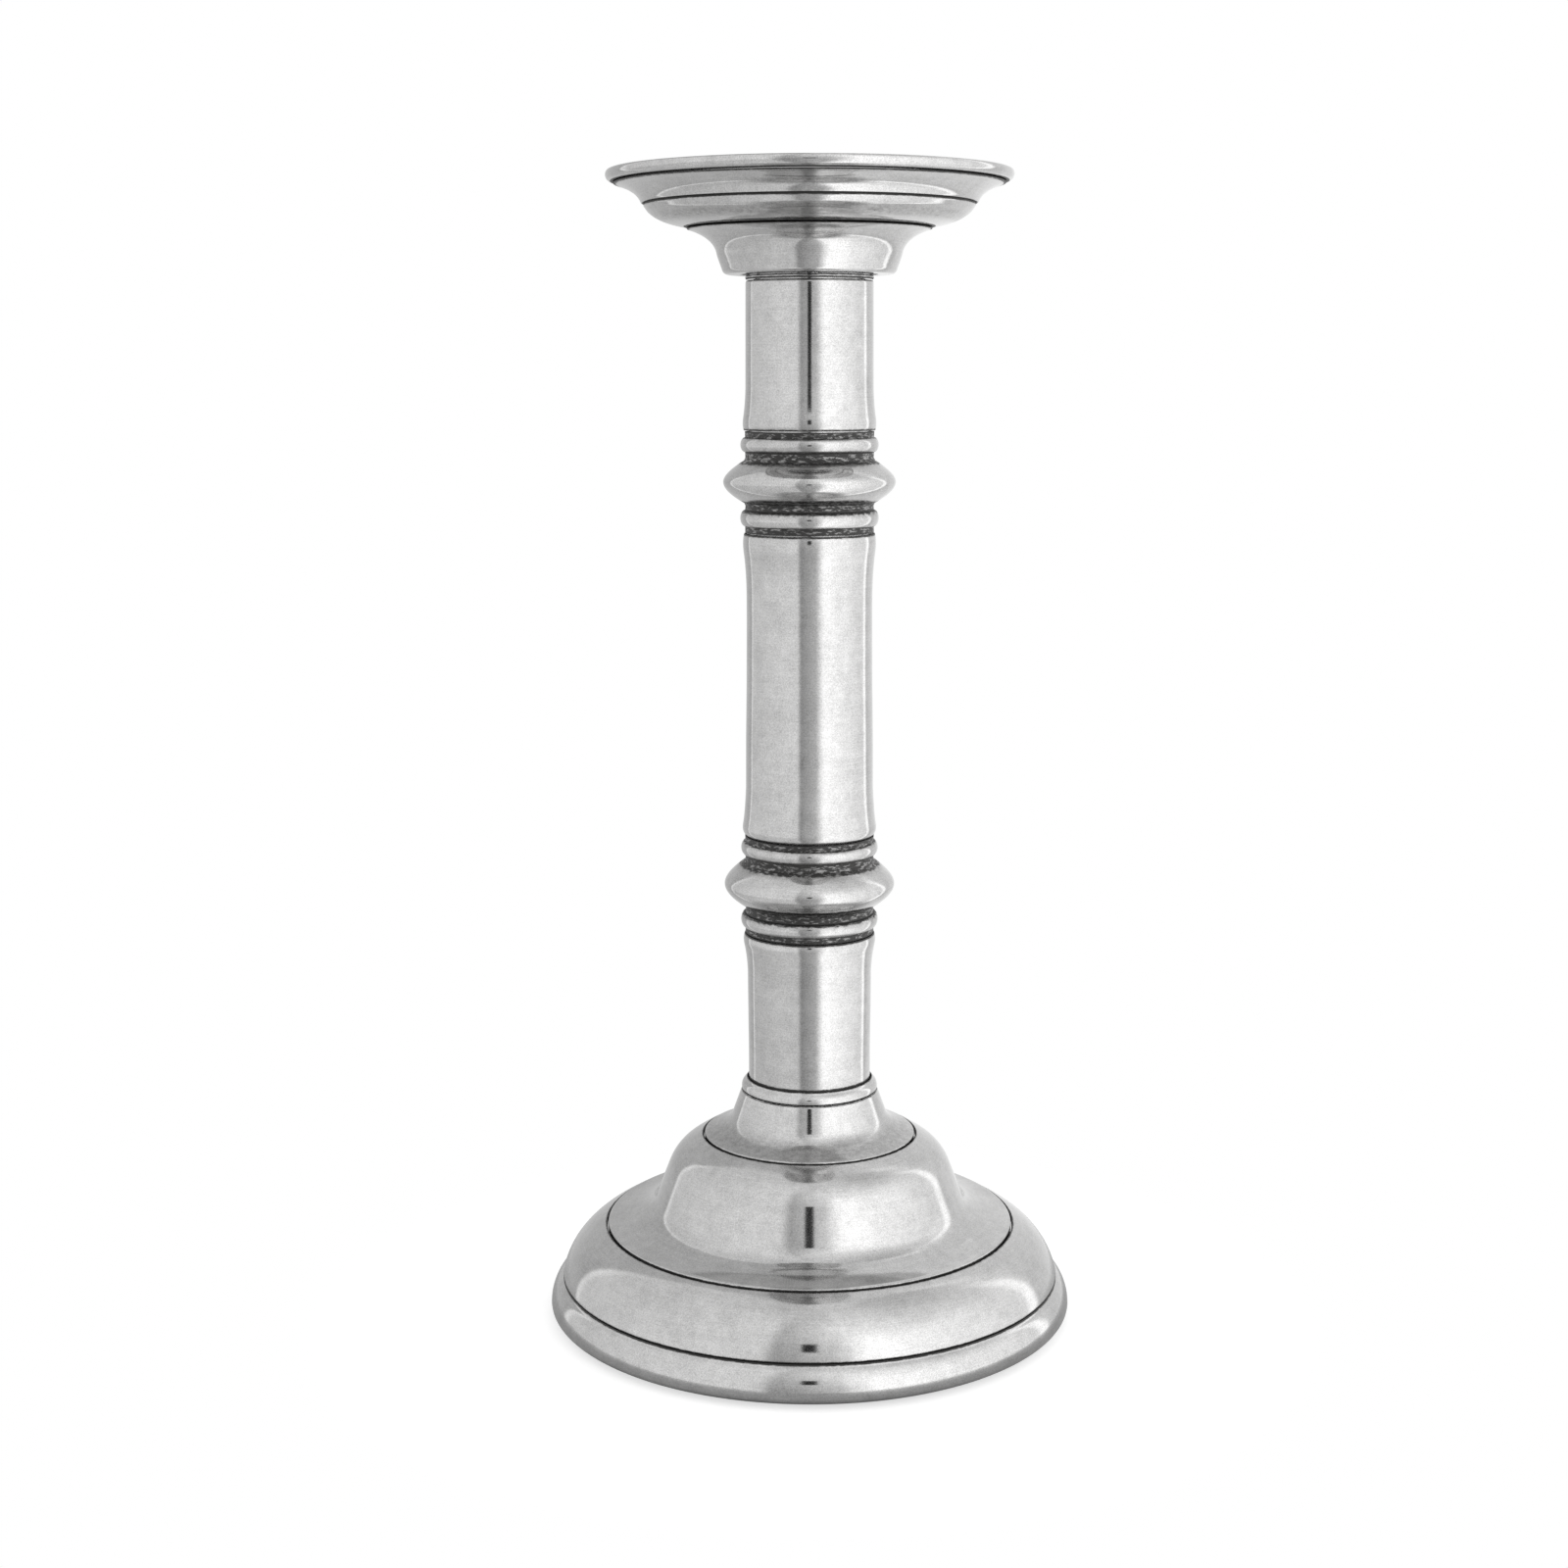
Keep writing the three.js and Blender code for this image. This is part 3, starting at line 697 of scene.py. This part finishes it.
def studio_light():
    """A light tent as its reflections show it: two big soft walls, a gap in front, a dim top.

    A direction has a side, in degrees to the right of straight in front, and a rise above level.
    """
    world = bpy.data.worlds.new("studio")
    bpy.context.scene.world = world
    world.use_nodes = True
    g = Graph(world.node_tree)
    axes = g.add("ShaderNodeSeparateXYZ", {0: g.add("ShaderNodeTexCoord").outputs["Generated"]}).outputs
    to_degrees = math.degrees(1)
    side = g.times(g.math("ARCTAN2", axes[0], g.times(axes[1], -1.0)), to_degrees)
    rise = g.times(g.math("ARCSINE", axes[2]), to_degrees)
    aside = g.math("ABSOLUTE", side)

    def wall(behind, level, left, right, top):
        """Light of a level over part of what is behind it; each edge is (angle, half its fade)."""
        inside = g.span(side, left[0] - left[1], left[0] + left[1])
        inside = g.times(inside, g.span(side, right[0] - right[1], right[0] + right[1], 1, 0))
        inside = g.times(inside, g.span(rise, top[0] - top[1], top[0] + top[1], 1, 0))
        return g.blend(inside, behind, level)

    # The gap, lighter as it rises and towards the right, and the tent's back.
    gap = g.times(g.span(rise, -15, 85, seen(130), seen(184), False),
                  g.span(side, -14, 16, 1, 1.75, False))
    front = g.blend(g.span(rise, 50, 75), gap, seen(184))
    back = g.span(side, -90, 90, seen(156), seen(186))
    light = g.blend(g.span(aside, 120, 140), front, back)

    # The two walls, each with a lighter strip along its far edge.
    left_level = g.times(g.span(side, -120, -45, seen(183), seen(200), False),
                         g.span(rise, -20, -6, 0.8, 1))
    light = wall(light, left_level, left=(-130, 2), right=(-18.5, 4.5), top=(72, 14))
    right_level = g.times(g.span(side, 35, 105, seen(250), seen(211), False),
                          g.span(rise, 24, 70, 1, 0.62))
    light = wall(light, right_level, left=(19, 9), right=(125, 2), top=(80, 14))
    light = wall(light, seen(207), left=(-131, 1.5), right=(-127, 2), top=(38, 16))
    light = wall(light, seen(247), left=(116, 2), right=(123, 2), top=(38, 20))

    # The top, dimmer at the back.
    crown = g.blend(g.span(aside, 100, 150), g.span(side, -60, 60, seen(176), seen(193)), seen(125))
    light = g.blend(g.span(rise, 74, 88), light, crown)

    plain = g.add("ShaderNodeBackground", {"Color": grey(1), "Strength": 1.0})
    lit = g.add("ShaderNodeBackground", {"Color": grey(1), "Strength": light})
    g.finish(g.add("ShaderNodeMixShader", {
        0: g.add("ShaderNodeLightPath").outputs["Is Camera Ray"], 1: lit.outputs[0], 2: plain.outputs[0],
    }), "ShaderNodeOutputWorld")


def stage_object(name, shape, look):
    """An object of the studio, from a bmesh that it frees."""
    mesh = bpy.data.meshes.new(name)
    shape.to_mesh(mesh)
    shape.free()
    mesh.materials.append(look)
    made = bpy.data.objects.new(name, mesh)
    bpy.context.scene.collection.objects.link(made)
    return made


def floor_disc():
    """Pale floor that fades out round the foot, and that the camera sees as white."""
    look, g = material("pale_floor")
    place = g.place()
    diffuse = g.add("ShaderNodeBsdfDiffuse", {"Color": g.tint(g.grain(place, 300), grey(0.49), grey(0.51))})
    shown = g.add("ShaderNodeLightPath").outputs["Is Camera Ray"]
    lift = g.add("ShaderNodeEmission", {"Color": grey(1), "Strength": g.times(shown, FLOOR_LIFT)})
    solid = g.add("ShaderNodeAddShader", {0: diffuse.outputs[0], 1: lift.outputs[0]})
    radius = g.add("ShaderNodeVectorMath", {0: place}, operation="LENGTH").outputs["Value"]
    clear = g.add("ShaderNodeBsdfTransparent")
    g.finish(g.add("ShaderNodeMixShader", {
        0: g.span(radius, SOLID_FLOOR_RADIUS, FLOOR_RADIUS), 1: solid.outputs[0], 2: clear.outputs[0],
    }))
    shape = bmesh.new()
    bmesh.ops.create_circle(shape, cap_ends=True, segments=96, radius=FLOOR_RADIUS)
    floor = stage_object("floor", shape, look)
    floor.location.z = -FLOOR_DROP


def dark_card():
    """The dark camera that the metal reflects: a card that faces the object."""
    look, g = material("lens_dark")
    g.finish(g.add("ShaderNodeEmission", {"Color": grey(1), "Strength": 0.03}))
    shape = bmesh.new()
    corners = ((-0.5, -0.5, 0), (0.5, -0.5, 0), (0.5, 0.5, 0), (-0.5, 0.5, 0))
    shape.faces.new([shape.verts.new(corner) for corner in corners])
    card = stage_object("lens_card", shape, look)
    card.location = DARK_CARD_PLACE
    card.scale = (*DARK_CARD_SIZE, 1)
    card.rotation_mode = "QUATERNION"
    card.rotation_quaternion = (DARK_CARD_AIM - DARK_CARD_PLACE).to_track_quat("Z", "Y")
    card.visible_camera = False
    card.visible_diffuse = False
    card.visible_shadow = False


def camera():
    """The camera, a little above the pan, looking down and slightly left."""
    eye = bpy.data.objects.new("camera", bpy.data.cameras.new("camera"))
    bpy.context.scene.collection.objects.link(eye)
    eye.location = CAMERA_PLACE
    down, left = math.radians(LOOK_DOWN), math.radians(LOOK_LEFT)
    forward = Vector((-math.sin(left) * math.cos(down), math.cos(left) * math.cos(down), -math.sin(down)))
    eye.rotation_mode = "QUATERNION"
    roll = Quaternion((0, 0, 1), math.radians(ROLL))
    eye.rotation_quaternion = forward.to_track_quat("-Z", "Y") @ roll
    eye.data.sensor_width = SENSOR_WIDTH
    eye.data.lens = FOCAL_LENGTH
    eye.data.clip_start = NEAREST_SEEN
    bpy.context.scene.camera = eye


# ---------------------------------------------------------------- assembly

camera()
studio_light()
floor_disc()
dark_card()
bpy.context.scene.view_settings.view_transform = "Standard"

metal = pewter()
silver_pieces = [
    foot_band(), skirt_shell(), dome_shell(), cone_flare(), collar_bead(),
    lower_tube(), lower_knop(), middle_tube(), upper_knop(), upper_tube(),
    seat_band(), spigot_plug(), cup_bell(), dish(), rim_roll(), pricket_spike(),
]
for piece in silver_pieces:
    piece.data.materials.append(metal)

felt = felt_disc()
felt.data.materials.append(green_felt())

looks = {"steel": zinc_steel(), "iron": cast_iron()}
for part in frame["record"]["subparts"]:
    if part["material_slot"] in looks:
        node = frame["nodes"][part["node"]]
        node.data.materials.clear()
        node.data.materials.append(looks[part["material_slot"]])
